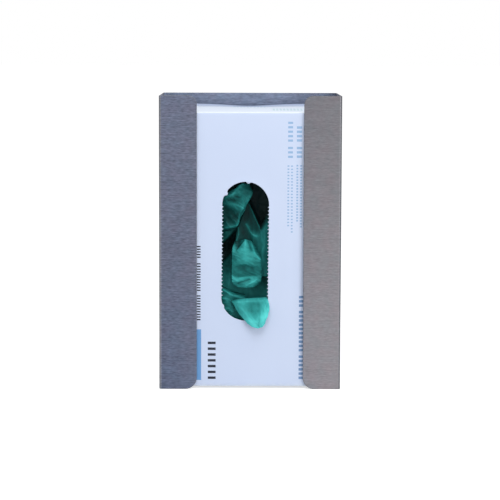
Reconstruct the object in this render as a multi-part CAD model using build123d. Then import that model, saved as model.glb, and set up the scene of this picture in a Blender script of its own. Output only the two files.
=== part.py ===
"""Wall-mounted holder for one carton of disposable gloves, with the carton and its gloves in place.

Millimetres, +Z up, the front faces -Y. The origin is the centre of the holder's footprint, on the
plane that its bottom edges and shelf share.

The holder is one folded stainless sheet: a back, two sides, two front lips and a bottom shelf.
The carton is one folded board blank with a tear-out slot, and stands on the shelf behind the lips.
The gloves that show in the slot are separate pieces. Those behind them are one stack.
"""

import math
import os

from build123d import *

# Holder: one sheet, folded on a press brake
HOLDER_WIDTH = 157.0
HOLDER_DEPTH = 95.0
HOLDER_HEIGHT = 254.0
SHEET = 1.2
BEND_INSIDE = 1.0
WINDOW_WIDTH = 92.0
LIP_CORNER_RADIUS = 7.5
LIP_FOOT_RADIUS = 10.0
EDGE_EASE = 0.3
SHELF_REACH = 74.0
SHELF_SIDE_GAP = 2.8
SHELF_CORNER_RADIUS = 6.0
RELIEF_WIDTH = 1.8
RELIEF_HEIGHT = 4.0
MATCH = 0.01

# Screw holes in the back
SCREW_HOLE_RADIUS = 2.75
SCREW_SPACING_X = 101.6
SCREW_SPACING_Z = 203.2

# Carton: one folded blank of solid bleached board, and the room that the holder leaves round it
CARTON_LEFT_GAP = 2.05
CARTON_RIGHT_GAP = 10.55
CARTON_LIP_GAP = 1.2
CARTON_BACK_GAP = 6.4
CARTON_RIM_DROP = 14.8
BOARD = 0.5
FOLD_RADIUS = 0.9
SEAM_WIDTH = 14.0
DUST_FLAP_LENGTH = 55.0
DUST_FLAP_TAPER = 7.0
LOWER_INNER_FLAP_LENGTH = 70.0

# Top closure: the rear flap springs up at its fold, and the front flap lies glued on it
TOP_LAP_SETBACK = 13.0
TOP_FLAP_RISE = 2.6
TOP_CREST_RISE = 4.6
TOP_CREST_SETBACK = 6.0
TOP_FLAP_SIDE_GAP = 1.2
GLUED_PITCH = 0.9

# Tear-out slot in the carton's front
SLOT_WIDTH = 39.5
SLOT_HEIGHT = 119.0

# Gloves: each one that shows is film folded flat, clear of what it lies on
GLOVE_FINGER = 10.0
GLOVE_THICKNESS = 1.2
GLOVE_CLEARANCE = 0.3
SLOT_HOLLOW_DEPTH = 20.0
STACK_LAYERS = 24
STACK_SIDE_GAP = 4.0
STACK_TOP_GAP = 9.0
STACK_CORNER_RADIUS = 16.0
STACK_STAGGER = 1.6
STAGGER_TURN_WIDTH = 2.1
STAGGER_TURN_HEIGHT = 1.3
TONGUE_RISE = 18.3
TONGUE_PROUD = 7.0
TONGUE_SIDE_GAP = 1.4
CENTRE_PROUD = 16.0
UPPER_PROUD = 11.0
LOWER_PROUD = 9.0
RIGHT_PROUD = 3.0

# Places that follow from the sizes
BEND_OUTSIDE = BEND_INSIDE + SHEET
FRONT = -HOLDER_DEPTH / 2
WALL_FACE = HOLDER_DEPTH / 2
SHELF_TOP = SHEET
SHELF_HALF_WIDTH = HOLDER_WIDTH / 2 - SHEET - SHELF_SIDE_GAP

CARTON_WIDTH = HOLDER_WIDTH - 2 * SHEET - CARTON_LEFT_GAP - CARTON_RIGHT_GAP
CARTON_SHIFT_X = (CARTON_LEFT_GAP - CARTON_RIGHT_GAP) / 2
CARTON_FRONT = FRONT + SHEET + CARTON_LIP_GAP
CARTON_BACK = WALL_FACE - SHEET - CARTON_BACK_GAP
CARTON_DEPTH = CARTON_BACK - CARTON_FRONT
CARTON_MID_Y = (CARTON_FRONT + CARTON_BACK) / 2
CARTON_BASE = SHELF_TOP
CARTON_TOP = HOLDER_HEIGHT - CARTON_RIM_DROP
SLOT_X = CARTON_SHIFT_X
SLOT_Z = (CARTON_BASE + CARTON_TOP) / 2
SLOT_CROWN = SLOT_Z + SLOT_HEIGHT / 2
SLOT_FOOT = SLOT_Z - SLOT_HEIGHT / 2
STACK_FRONT = CARTON_FRONT + BOARD + SLOT_HOLLOW_DEPTH
GLOVE_REAR = STACK_FRONT - GLOVE_CLEARANCE - GLOVE_THICKNESS / 2


def box_between(low, high):
    """The box with these two opposite corners."""
    size = [b - a for a, b in zip(low, high)]
    middle = [(a + b) / 2 for a, b in zip(low, high)]
    return Pos(*middle) * Box(*size)


def upright(sketch, low, high):
    """A plan sketch, extruded from height low to height high."""
    return Pos(0, 0, low) * extrude(sketch, high - low, dir=(0, 0, 1))


def across(sketch, left, right):
    """A sketch drawn as (depth, height), extruded along X from left to right."""
    return extrude(Plane.YZ.offset(left) * sketch, right - left, dir=(1, 0, 0))


def front_view(sketch, front, rear):
    """A sketch drawn as (width, height), extruded along Y from front to rear."""
    return extrude(Plane.XZ.offset(-rear) * sketch, rear - front, dir=(0, -1, 0))


# ---- holder ----------------------------------------------------------------------------------


def lip_corners(channel, at_foot):
    """The corner edges where each lip's inner edge meets its foot or its top."""
    return [
        edge
        for edge in channel.edges().filter_by(Axis.Y)
        if abs(abs(edge.center().X) - WINDOW_WIDTH / 2) < SHEET / 2
        and (edge.center().Z < HOLDER_HEIGHT / 2) == at_foot
    ]


def folded_channel():
    """Back, sides and lips: a rounded box section, open between the lips."""
    outer = RectangleRounded(HOLDER_WIDTH, HOLDER_DEPTH, BEND_OUTSIDE)
    inner = RectangleRounded(HOLDER_WIDTH - 2 * SHEET, HOLDER_DEPTH - 2 * SHEET, BEND_INSIDE)
    window = Pos(0, FRONT) * Rectangle(WINDOW_WIDTH, 4 * SHEET)
    channel = upright(outer - inner - window, 0, HOLDER_HEIGHT)
    channel = fillet(lip_corners(channel, at_foot=False), LIP_CORNER_RADIUS)
    return fillet(lip_corners(channel, at_foot=True), LIP_FOOT_RADIUS)


def inside_skin(point):
    """How far a point lies inside the channel's outer skin, seen in plan."""
    past_x = abs(point.X) - (HOLDER_WIDTH / 2 - BEND_OUTSIDE)
    past_y = abs(point.Y) - (HOLDER_DEPTH / 2 - BEND_OUTSIDE)
    round_corner = math.hypot(max(past_x, 0), max(past_y, 0))
    return BEND_OUTSIDE - round_corner - min(max(past_x, past_y), 0)


def ease_cut_edges(channel):
    """A small chamfer where the sheet's outer skin meets a cut edge. Bend lines are left alone."""
    cut_edges = []
    for edge in channel.edges():
        middle = edge @ 0.5
        bend_line = abs((edge % 0.5).Z) > 1 - MATCH and abs(abs(middle.X) - WINDOW_WIDTH / 2) > MATCH
        if inside_skin(middle) < MATCH and not bend_line:
            cut_edges.append(edge)
    return chamfer(cut_edges, EDGE_EASE)


def shelf():
    """The flange folded forward from the back, with rounded front corners."""
    fold = FilletPolyline(
        (WALL_FACE - SHEET / 2, RELIEF_HEIGHT),
        (WALL_FACE - SHEET / 2, SHEET / 2),
        (WALL_FACE - SHELF_REACH, SHEET / 2),
        radius=BEND_INSIDE + SHEET / 2,
    )
    flange = across(trace(fold, SHEET), -SHELF_HALF_WIDTH, SHELF_HALF_WIDTH)
    front_corners = [
        edge
        for edge in flange.edges().filter_by(Axis.Z)
        if edge.center().Y < WALL_FACE - SHELF_REACH + SHEET
    ]
    return fillet(front_corners, SHELF_CORNER_RADIUS)


def relief_slot(side):
    """The slot in the blank between the shelf's bend and a side's bend, with a round end."""
    middle_x = side * (SHELF_HALF_WIDTH + RELIEF_WIDTH / 2)
    straight = RELIEF_HEIGHT - RELIEF_WIDTH / 2
    outline = Pos(middle_x, straight / 2) * Rectangle(RELIEF_WIDTH, straight)
    outline += Pos(middle_x, straight) * Circle(RELIEF_WIDTH / 2)
    return front_view(outline, WALL_FACE - 2 * SHEET, WALL_FACE + SHEET)


def screw_holes():
    """Cutters for the round holes in the back, one near each corner."""
    pattern = GridLocations(SCREW_SPACING_X, SCREW_SPACING_Z, 2, 2)
    return [
        front_view(
            Pos(0, HOLDER_HEIGHT / 2) * spot * Circle(SCREW_HOLE_RADIUS),
            WALL_FACE - 2 * SHEET,
            WALL_FACE + SHEET,
        )
        for spot in pattern
    ]


def make_holder():
    """The folded sheet: the channel, its back cut away at the foot for the shelf's bend."""
    foot_cut = box_between(
        (-SHELF_HALF_WIDTH, WALL_FACE - 2 * SHEET, -SHEET),
        (SHELF_HALF_WIDTH, WALL_FACE + SHEET, RELIEF_HEIGHT),
    )
    holder = ease_cut_edges(folded_channel()) - foot_cut + shelf()
    return holder - [relief_slot(-1), relief_slot(1)] - screw_holes()


# ---- carton ----------------------------------------------------------------------------------


def carton_walls():
    """Front, sides and back as one tube with creased corners, and the glued seam inside the back."""
    outer = RectangleRounded(CARTON_WIDTH, CARTON_DEPTH, FOLD_RADIUS)
    inner = RectangleRounded(CARTON_WIDTH - 2 * BOARD, CARTON_DEPTH - 2 * BOARD, FOLD_RADIUS - BOARD)
    tube = Pos(0, CARTON_MID_Y) * (outer - inner)
    seam_x = -CARTON_WIDTH / 2 + BOARD + SEAM_WIDTH / 2
    seam = Pos(seam_x, CARTON_BACK - 1.5 * BOARD) * Rectangle(SEAM_WIDTH, BOARD)
    walls = upright(tube, CARTON_BASE, CARTON_TOP)
    return walls + upright(seam, CARTON_BASE + 3 * BOARD, CARTON_TOP - 3 * BOARD)


def dust_flap(side, top_face):
    """A tapered flap folded in from a side wall, its upper face at height top_face."""
    root = side * (CARTON_WIDTH / 2 - BOARD)
    tip = root - side * DUST_FLAP_LENGTH
    front, back = CARTON_FRONT + BOARD, CARTON_BACK - BOARD
    outline = make_face(
        Polyline(
            (root, front),
            (root, back),
            (tip, back - DUST_FLAP_TAPER),
            (tip, front + DUST_FLAP_TAPER),
            close=True,
        )
    )
    return upright(outline, top_face - BOARD, top_face)


def bottom_closure():
    """Three layers glued together: the outer flap, the inner flap, and the two dust flaps."""
    half = CARTON_WIDTH / 2 - BOARD
    outer = box_between(
        (-half, CARTON_FRONT + BOARD, CARTON_BASE),
        (half, CARTON_BACK - BOARD, CARTON_BASE + BOARD),
    )
    inner = box_between(
        (-half, CARTON_BACK - BOARD - LOWER_INNER_FLAP_LENGTH, CARTON_BASE + BOARD),
        (half, CARTON_BACK - BOARD, CARTON_BASE + 2 * BOARD),
    )
    return [outer, inner, dust_flap(-1, CARTON_BASE + 3 * BOARD), dust_flap(1, CARTON_BASE + 3 * BOARD)]


def top_closure():
    """The rear flap rises over a crest at its fold. The front flap climbs from its own fold to lie on it."""
    half = CARTON_WIDTH / 2 - TOP_FLAP_SIDE_GAP
    middle = BOARD / 2
    wall_y = CARTON_FRONT + middle
    lap_y = CARTON_BACK - TOP_LAP_SETBACK
    tuck_y = CARTON_FRONT + 3 * BOARD
    glued = GLUED_PITCH * BOARD
    wall_top = CARTON_TOP - middle
    lap_top = wall_top + TOP_FLAP_RISE
    tuck_top = wall_top + TOP_FLAP_RISE * (tuck_y - wall_y) / (lap_y - wall_y)
    crest_top = wall_top + TOP_CREST_RISE
    front_flap = FilletPolyline(
        (wall_y, CARTON_TOP - 2 * BOARD),
        (wall_y, wall_top),
        (lap_y, lap_top),
        radius=FOLD_RADIUS - middle,
    )
    rear_flap = FilletPolyline(
        (CARTON_BACK - middle, CARTON_TOP - BOARD),
        (CARTON_BACK - middle, crest_top),
        (CARTON_BACK - TOP_CREST_SETBACK, crest_top),
        (lap_y, lap_top - glued),
        (tuck_y, tuck_top - glued),
        radius=[TOP_CREST_SETBACK / 3, TOP_CREST_SETBACK / 3, TOP_CREST_SETBACK],
    )
    flaps = across(trace(front_flap, BOARD) + trace(rear_flap, BOARD), -half, half)
    dust_top = CARTON_TOP - 2 * BOARD
    return [flaps, dust_flap(-1, dust_top), dust_flap(1, dust_top)]


def tear_out_slot():
    """The long round-ended opening through the front."""
    outline = Pos(0, SLOT_Z) * Rot(0, 0, 90) * SlotOverall(SLOT_HEIGHT, SLOT_WIDTH)
    return front_view(outline, CARTON_FRONT - BOARD, CARTON_FRONT + 2 * BOARD)


def make_carton():
    """The folded and glued blank."""
    fold_cut = box_between(
        (-CARTON_WIDTH, CARTON_FRONT - BOARD, CARTON_TOP - FOLD_RADIUS),
        (CARTON_WIDTH, CARTON_FRONT + BOARD, CARTON_TOP + BOARD),
    )
    carton = carton_walls() - fold_cut + bottom_closure() + top_closure() - tear_out_slot()
    return Pos(CARTON_SHIFT_X, 0, 0) * carton


# ---- gloves ----------------------------------------------------------------------------------
# Outlines and paths are drawn in finger widths. An outline's points are (right of a middle line,
# above a level), as seen from the front. A path's points are (right of the slot's middle, forward
# of the stack) in plan, and (forward of the stack, above a level) from the side. How far a path
# stands forward is in millimetres.


def glove_outline(middle, level, points, radius):
    """A closed outline with rounded corners, as a prism that runs from the rear to the front."""
    corners = [(middle + x * GLOVE_FINGER, level + z * GLOVE_FINGER) for x, z in points]
    outline = fillet(Polygon(*corners, align=None).vertices(), radius * GLOVE_FINGER)
    return front_view(outline, CARTON_FRONT - HOLDER_DEPTH, CARTON_BACK)


def folded_in_plan(path, radii, prism):
    """Film that follows a path drawn in plan, trimmed to its outline."""
    corners = [(SLOT_X + x * GLOVE_FINGER, GLOVE_REAR - forward) for x, forward in path]
    line = FilletPolyline(*corners, radius=[r * GLOVE_FINGER for r in radii])
    return upright(trace(line, GLOVE_THICKNESS), CARTON_BASE, CARTON_TOP) & prism


def folded_from_side(level, path, radii, prism):
    """Film that follows a path drawn from the side, trimmed to its outline."""
    corners = [(GLOVE_REAR - forward, level + z * GLOVE_FINGER) for forward, z in path]
    line = FilletPolyline(*corners, radius=[r * GLOVE_FINGER for r in radii])
    film = trace(line, GLOVE_THICKNESS)
    return across(film, SLOT_X - CARTON_WIDTH / 2, SLOT_X + CARTON_WIDTH / 2) & prism


def make_glove_stack():
    """The gloves behind the slot, laid flat one on the next and a little staggered."""
    width = CARTON_WIDTH - 2 * BOARD - 2 * STACK_SIDE_GAP
    low = CARTON_BASE + 3 * BOARD + GLOVE_CLEARANCE
    height = CARTON_TOP - 2 * BOARD - STACK_TOP_GAP - low
    back = CARTON_BACK - 2 * BOARD - GLOVE_CLEARANCE
    layer = (back - STACK_FRONT) / STACK_LAYERS
    layers = []
    for i in range(STACK_LAYERS):
        narrower = STACK_STAGGER * (1 + math.sin(STAGGER_TURN_WIDTH * i))
        shorter = STACK_STAGGER * (1 + math.sin(STAGGER_TURN_HEIGHT * i))
        outline = RectangleRounded(width - 2 * narrower, height - shorter, STACK_CORNER_RADIUS)
        outline = Pos(CARTON_SHIFT_X, low + (height - shorter) / 2) * outline
        layers.append(front_view(outline, back - (i + 1) * layer, back - i * layer))
    return layers[0] + layers[1:]


def make_glove_front():
    """The glove next out: its tongue comes over the slot's foot and hangs down the carton's face."""
    crest = SLOT_FOOT + TONGUE_RISE
    board = GLOVE_REAR - CARTON_FRONT - BOARD
    proud = GLOVE_REAR - CARTON_FRONT + TONGUE_PROUD
    right_edge = SLOT_X + SLOT_WIDTH / 2 - TONGUE_SIDE_GAP
    outline = [(-2.97, 0.02), (0, 0.12), (0.22, -0.78), (-0.4, -2.48), (-0.9, -2.48), (-2.17, -1.38)]
    path = [
        (0, -1.3),
        (0, -0.5),
        (board, 0),
        (proud, 0),
        (proud, -1.3),
        (proud - TONGUE_PROUD / 2, -2.72),
    ]
    prism = glove_outline(right_edge, crest, outline, 0.22)
    return folded_from_side(crest, path, [0.3, 0.6, 0.3, 0.6], prism)


def make_glove_centre():
    """A glove folded double, its rounded fold hanging in the middle of the slot."""
    outline = [
        (-0.15, 6.95),
        (0.35, 6.95),
        (1.35, 5.55),
        (1.4, 3.55),
        (0.8, 2.65),
        (-0.6, 2.6),
        (-1.1, 3.15),
        (-1.1, 6.25),
    ]
    path = [(0, 3.4), (0, 2.7), (CENTRE_PROUD, 2.7), (CENTRE_PROUD, 4.9), (CENTRE_PROUD / 2, 7.3)]
    prism = glove_outline(SLOT_X, SLOT_FOOT, outline, 0.24)
    return folded_from_side(SLOT_FOOT, path, [0.15, 0.4, 0.8], prism)


def make_glove_upper():
    """A glove bunched up at the slot's upper left."""
    outline = [
        (-3.8, -0.15),
        (-0.1, -0.15),
        (0.65, -0.95),
        (0.3, -1.95),
        (-0.4, -2.85),
        (-0.5, -3.85),
        (-3.8, -4.25),
    ]
    path = [(-4.4, 0), (-3.0, 0), (-2.0, UPPER_PROUD), (1.2, UPPER_PROUD / 2)]
    return folded_in_plan(path, [0.4, 0.5], glove_outline(SLOT_X, SLOT_CROWN, outline, 0.18))


def make_glove_right():
    """A glove lying back in the slot, one of its edges running down from upper left to right."""
    outline = [
        (0.25, 9.95),
        (1.4, 7.65),
        (2.1, 8.95),
        (4.4, 8.95),
        (4.4, 3.55),
        (0.0, 3.55),
        (-0.45, 7.75),
        (-0.3, 8.85),
    ]
    path = [(-0.6, 0), (1.2, 0), (2.4, RIGHT_PROUD), (4.8, RIGHT_PROUD)]
    return folded_in_plan(path, [0.5, 0.5], glove_outline(SLOT_X, SLOT_FOOT, outline, 0.12))


def make_glove_lower():
    """A glove folded across the slot's lower left."""
    outline = [(-4.0, 2.95), (-2.0, 2.45), (-1.35, 2.05), (-0.4, 0.25), (-0.4, -0.45), (-4.0, -0.45)]
    path = [(-4.6, 0), (-3.2, 0), (-2.2, LOWER_PROUD), (0.2, LOWER_PROUD / 3)]
    return folded_in_plan(path, [0.4, 0.5], glove_outline(SLOT_X, SLOT_FOOT, outline, 0.12))


def main():
    os.makedirs("parts", exist_ok=True)
    pieces = {
        "holder": make_holder(),
        "carton": make_carton(),
        "glove_stack": make_glove_stack(),
        "glove_front": make_glove_front(),
        "glove_centre": make_glove_centre(),
        "glove_upper": make_glove_upper(),
        "glove_right": make_glove_right(),
        "glove_lower": make_glove_lower(),
    }
    for name, shape in pieces.items():
        export_step(shape, f"parts/{name}.step")


main()
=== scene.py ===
"""Looks of the glove dispenser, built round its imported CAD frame.

Blender works in metres in the CAD's own frame: +Z up, the front faces -Y. Shapes here are worked
out in millimetres, as arrays of (x, y, z), and each mesh is made in metres.
"""

import math

import bmesh
import bpy
import numpy as np
from mathutils import Matrix, Vector, noise


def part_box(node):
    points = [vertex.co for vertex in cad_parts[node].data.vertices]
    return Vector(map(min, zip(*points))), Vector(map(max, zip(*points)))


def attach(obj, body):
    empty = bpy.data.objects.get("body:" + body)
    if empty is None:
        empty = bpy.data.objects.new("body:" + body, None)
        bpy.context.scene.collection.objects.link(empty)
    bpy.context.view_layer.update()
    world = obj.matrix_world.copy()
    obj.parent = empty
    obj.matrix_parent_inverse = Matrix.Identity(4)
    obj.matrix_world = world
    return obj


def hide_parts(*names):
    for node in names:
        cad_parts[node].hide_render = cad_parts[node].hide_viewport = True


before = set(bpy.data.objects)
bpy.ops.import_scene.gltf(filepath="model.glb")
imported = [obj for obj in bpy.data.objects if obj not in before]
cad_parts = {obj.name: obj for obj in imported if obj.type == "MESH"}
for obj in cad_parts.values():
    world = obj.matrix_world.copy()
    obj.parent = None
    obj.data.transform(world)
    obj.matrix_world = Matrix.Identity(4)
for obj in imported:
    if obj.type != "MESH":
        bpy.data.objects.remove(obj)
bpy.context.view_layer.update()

MM = 0.001
BODY = "root"


def node_box(node):
    """A CAD node's lowest and highest corners, in millimetres."""
    low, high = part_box(node)
    return np.array(low) / MM, np.array(high) / MM


# The carton as in the CAD, with a slightly wider slot, because nibs stand in from its edge
CARTON_LOW, CARTON_HIGH = node_box("carton")
CARTON_LEFT, CARTON_FRONT, CARTON_BASE = CARTON_LOW
CARTON_RIGHT, CARTON_BACK, CARTON_CREST = CARTON_HIGH
CREST_RISE = 4.0
CARTON_TOP = CARTON_CREST - CREST_RISE
BOARD = 0.5
SLOT_X = (CARTON_LEFT + CARTON_RIGHT) / 2
SLOT_ABOVE_BASE = 119.0
SLOT_Z = CARTON_BASE + SLOT_ABOVE_BASE
SLOT_RADIUS = 20.2
SLOT_STRAIGHT = 79.8
# How far behind the carton's front the stack begins, and the gloves before it end
STACK_DEPTH = node_box("glove_stack")[0][1] - CARTON_FRONT
GLOVE_BACK = STACK_DEPTH - 0.9
GLOVE_DEEP = GLOVE_BACK + 0.6


# ---- meshes ----


def put(name, data):
    """A new object in the scene."""
    made = bpy.data.objects.new(name, data)
    bpy.context.scene.collection.objects.link(made)
    return made


def make_object(name, points, faces, material, tone=None):
    """A mesh object from points in millimetres. tone is a number a point, for the material."""
    mesh = bpy.data.meshes.new(name)
    mesh.from_pydata([tuple(p) for p in np.asarray(points) * MM], [], faces)
    mesh.validate()
    mesh.polygons.foreach_set("use_smooth", [True] * len(mesh.polygons))
    if tone is not None:
        layer = mesh.attributes.new("tone", "FLOAT", "POINT")
        layer.data.foreach_set("value", np.asarray(tone, dtype=np.float32).ravel())
    mesh.materials.append(material)
    return put(name, mesh)


def grid_faces(rows, columns, start=0, closed=False):
    """Quads of a grid stored row by row. A closed grid joins each row's end to its start."""
    faces = []
    for i in range(rows - 1):
        for j in range(columns if closed else columns - 1):
            k = (j + 1) % columns
            a = start + i * columns
            b = a + columns
            faces.append((a + j, a + k, b + k, b + j))
    return faces


def thicken(made, thickness):
    """Gives a skin its thickness in millimetres, inwards."""
    modifier = made.modifiers.new("sheet", "SOLIDIFY")
    modifier.thickness = thickness * MM
    modifier.offset = -1.0
    modifier.use_even_offset = True
    depsgraph = bpy.context.evaluated_depsgraph_get()
    mesh = bpy.data.meshes.new_from_object(made.evaluated_get(depsgraph))
    made.modifiers.clear()
    made.data = mesh


def smoothstep(low, high, value):
    """0 below low, 1 above high, and an even S between them."""
    t = np.clip((value - low) / (high - low), 0, 1)
    return t * t * (3 - 2 * t)


def unit(vectors):
    """The vectors, each 1 long."""
    return vectors / np.maximum(np.linalg.norm(vectors, axis=-1, keepdims=True), 1e-9)


# ---- materials ----


class Nodes:
    """A node tree, with short calls for the plain nodes used here."""

    def __init__(self, tree):
        self.tree = tree

    def add(self, kind, **settings):
        node = self.tree.nodes.new(kind)
        for key, value in settings.items():
            setattr(node, key, value)
        return node

    def link(self, source, target):
        self.tree.links.new(source, target)

    def feed(self, socket, value):
        """Links an output to a socket, or sets the socket to a plain value."""
        if isinstance(value, bpy.types.NodeSocket):
            self.link(value, socket)
        else:
            socket.default_value = value

    def fill(self, node, **inputs):
        """Feeds a node's inputs by name, with _ for a space."""
        for key, value in inputs.items():
            self.feed(node.inputs[key.replace("_", " ")], value)
        return node

    def result(self, node, *values):
        """A node's first output, with the values fed to its inputs in order."""
        for socket, value in zip(node.inputs, values):
            self.feed(socket, value)
        return node.outputs[0]

    def math(self, operation, a, b=0.0, c=0.0):
        return self.result(self.add("ShaderNodeMath", operation=operation), a, b, c)

    def remap(self, value, low, high, to_low=0.0, to_high=1.0, smooth=False):
        node = self.add("ShaderNodeMapRange", interpolation_type="SMOOTHSTEP" if smooth else "LINEAR")
        return self.result(node, value, low, high, to_low, to_high)

    def product(self, *values):
        """All the values multiplied together."""
        result = values[0]
        for value in values[1:]:
            result = self.math("MULTIPLY", result, value)
        return result

    def sees_background(self):
        """1 for rays that see the white background as it is: from the camera, in gloss and in glass."""
        path = self.add("ShaderNodeLightPath")
        seen = self.math("MAXIMUM", path.outputs["Is Camera Ray"], path.outputs["Is Glossy Ray"])
        return self.math("MAXIMUM", seen, path.outputs["Is Transmission Ray"])


class Shader(Nodes):
    """A material's node tree. Patterns lie on the object's own coordinates."""

    def __init__(self, name):
        self.material = bpy.data.materials.new(name)
        self.material.use_nodes = True
        super().__init__(self.material.node_tree)
        self.tree.nodes.clear()
        self.output = self.add("ShaderNodeOutputMaterial")
        coordinates = self.add("ShaderNodeTexCoord").outputs
        self.place, self.normal = coordinates["Object"], coordinates["Normal"]

    def mix(self, amount, a, b, blend="MIX"):
        node = self.add("ShaderNodeMix", data_type="RGBA", blend_type=blend)
        self.feed(node.inputs[0], amount)
        for socket, colour in zip((node.inputs[6], node.inputs[7]), (a, b)):
            self.feed(socket, colour if isinstance(colour, bpy.types.NodeSocket) else (*colour, 1.0))
        return node.outputs[2]

    def noise(self, scale, detail=3.0, roughness=0.55, stretch=(1, 1, 1), distortion=0.0, place=None):
        """Noise over the object, or over another place. stretch multiplies each axis's scale."""
        mapping = self.fill(self.add("ShaderNodeMapping"), Vector=place or self.place, Scale=stretch)
        node = self.fill(self.add("ShaderNodeTexNoise"), Vector=mapping.outputs[0], Scale=scale)
        self.fill(node, Detail=detail, Roughness=roughness, Distortion=distortion)
        return node.outputs["Fac"]

    def ramp(self, value, stops):
        """A colour ramp with stops of (value, colour), over any range of values."""
        low, high = stops[0][0], stops[-1][0]
        node = self.add("ShaderNodeValToRGB")
        band = node.color_ramp
        while len(band.elements) < len(stops):
            band.elements.new(0.5)
        for element, (at, colour) in zip(band.elements, stops):
            element.position = (at - low) / (high - low)
            element.color = (*colour, 1.0)
        self.link(self.remap(value, low, high), node.inputs[0])
        return node.outputs[0]

    def bump(self, height, distance, strength):
        """A rough surface, its heights up to a distance in metres."""
        node = self.fill(self.add("ShaderNodeBump"), Distance=distance, Strength=strength, Height=height)
        return node.outputs[0]

    def axis(self, index, vector=None):
        """X, Y or Z of the object's own coordinates, in metres, or of another vector."""
        return self.fill(self.add("ShaderNodeSeparateXYZ"), Vector=vector or self.place).outputs[index]

    def tone(self):
        """The number that the mesh carries at each point."""
        return self.add("ShaderNodeAttribute", attribute_name="tone").outputs["Fac"]

    def surface(self, **sockets):
        """A Principled shader with these sockets, as the surface."""
        node = self.fill(self.add("ShaderNodeBsdfPrincipled"), **sockets)
        self.link(node.outputs[0], self.output.inputs["Surface"])


# The steel's colour in the dark and the light of its grain, and in its dull clouds
STEEL_GRAIN = ((0.165, 0.172, 0.208), (0.205, 0.212, 0.25))
STEEL_CLOUD = (0.2, 0.2, 0.22)
# What multiplies it: a painted reflection from left to right, and patches of slightly different hue
STEEL_PAINTED_REFLECTION_HUE = ((0.78, 0.83, 1.0), (1.16, 1.08, 1.0))
STEEL_HUES = ((0.965, 1.01, 1.02), (1.03, 0.985, 1.0))
# Painted reflection on the lips by height in metres: the left one darkens to the foot, the right one to the
# top
STEEL_LEFT_PAINTED_REFLECTION = ((0.0, (0.63, 0.68, 0.72)), (0.12, (0.71, 0.72, 0.72)), (0.254, (0.89, 0.92, 0.93)))
STEEL_RIGHT_PAINTED_REFLECTION = ((0.0, (1.0, 0.985, 0.955)), (0.12, (0.885, 0.88, 0.86)), (0.254, (0.78, 0.79, 0.785)))
# On the side walls; a painted reflection on the back's inside, a painted glint where a bend starts, and
# painted shade round it at left and right
STEEL_SIDES = (1.05, 1.03, 0.98)
STEEL_BACK_PAINTED_REFLECTION = (1.12, 1.3, 1.6)
STEEL_BEND_PAINTED_GLINT = (1.25, 1.22, 1.15)
STEEL_TURNS_PAINTED_SHADE = ((0.84, 0.84, 0.79), (0.58, 0.57, 0.53))
# In metres: x at the walls, and y where the back's inside and the lips' faces begin
STEEL_WALL_X = 0.075
BACK_Y = (0.0445, 0.0458)
LIP_Y = (-0.0455, -0.0465)
# The surface's direction along y, 0 sideways and -1 forward: on a lip's face, where a bend starts,
# just past that, and round it
LIP_FACING = (-0.90, -0.985)
BEND_STARTS = (-0.995, -0.975)
BEND_STARTED = (-0.93, -0.975)
TURN_STARTS = (-0.96, -0.9)
TURN_ENDS = (-0.1, -0.3)
# How deep the brushing's marks are: on most of the sheet, on the left lip, and as a share on the
# back's inside, on the rest of the left side, and where the sheet lies flat
MARK_DEPTHS = (0.58, 1.28)
MARKS_ON_BACK = 0.7
MARKS_ON_LEFT = 0.25
MARKS_ON_FLAT = 0.35


def grain_place(s, flat):
    """The object's coordinates, with Y and Z changed over to turn the grain where the sheet is flat."""
    x, y, z = (s.axis(i) for i in range(3))
    swap = s.product(s.math("SUBTRACT", z, y), flat)
    place = {"X": x, "Y": s.math("ADD", y, swap), "Z": s.math("SUBTRACT", z, swap)}
    return s.fill(s.add("ShaderNodeCombineXYZ"), **place).outputs[0]


def steel_zones(s):
    """Each 0 to 1: where the sheet lies flat, how far right, on the back's inside, on a lip's face."""
    flat = s.math("GREATER_THAN", s.math("ABSOLUTE", s.axis(2, s.normal)), 0.7)
    right = s.remap(s.axis(0), -STEEL_WALL_X, STEEL_WALL_X, smooth=True)
    y, facing = s.axis(1), s.axis(1, s.normal)
    on_back = s.product(s.remap(y, *BACK_Y), s.math("LESS_THAN", facing, -0.5))
    on_lip = s.product(s.remap(y, *LIP_Y), s.remap(facing, *LIP_FACING))
    return flat, right, on_back, on_lip


def steel_painted_reflection(s, right, on_back, on_lip):
    """Painted reflection, glint and shade: how light or dark each part of the sheet is painted, apart from
    its grain.
    """
    # Painted reflection: cooler on the left, warmer on the right, and by height on the lips
    warm = s.mix(right, *STEEL_PAINTED_REFLECTION_HUE)
    height = s.axis(2)
    fall = s.mix(right, s.ramp(height, STEEL_LEFT_PAINTED_REFLECTION), s.ramp(height, STEEL_RIGHT_PAINTED_REFLECTION))
    shade = s.mix(on_lip, STEEL_SIDES, s.mix(1.0, warm, fall, blend="MULTIPLY"))
    facing = s.axis(1, s.normal)
    # Painted glint where a bend starts, weaker on the right
    glint = s.product(s.remap(facing, *BEND_STARTS), s.remap(facing, *BEND_STARTED))
    glint = s.product(glint, s.remap(right, 0.0, 1.0, 1.0, 0.15))
    # Painted shade round the bends
    turned = s.product(s.remap(facing, *TURN_STARTS), s.remap(facing, *TURN_ENDS))
    shade = s.mix(turned, s.mix(glint, shade, STEEL_BEND_PAINTED_GLINT), s.mix(right, *STEEL_TURNS_PAINTED_SHADE))
    # Painted reflection on the back's inside
    return s.mix(1.0, shade, s.mix(on_back, (1.0, 1.0, 1.0), STEEL_BACK_PAINTED_REFLECTION), blend="MULTIPLY")


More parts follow.
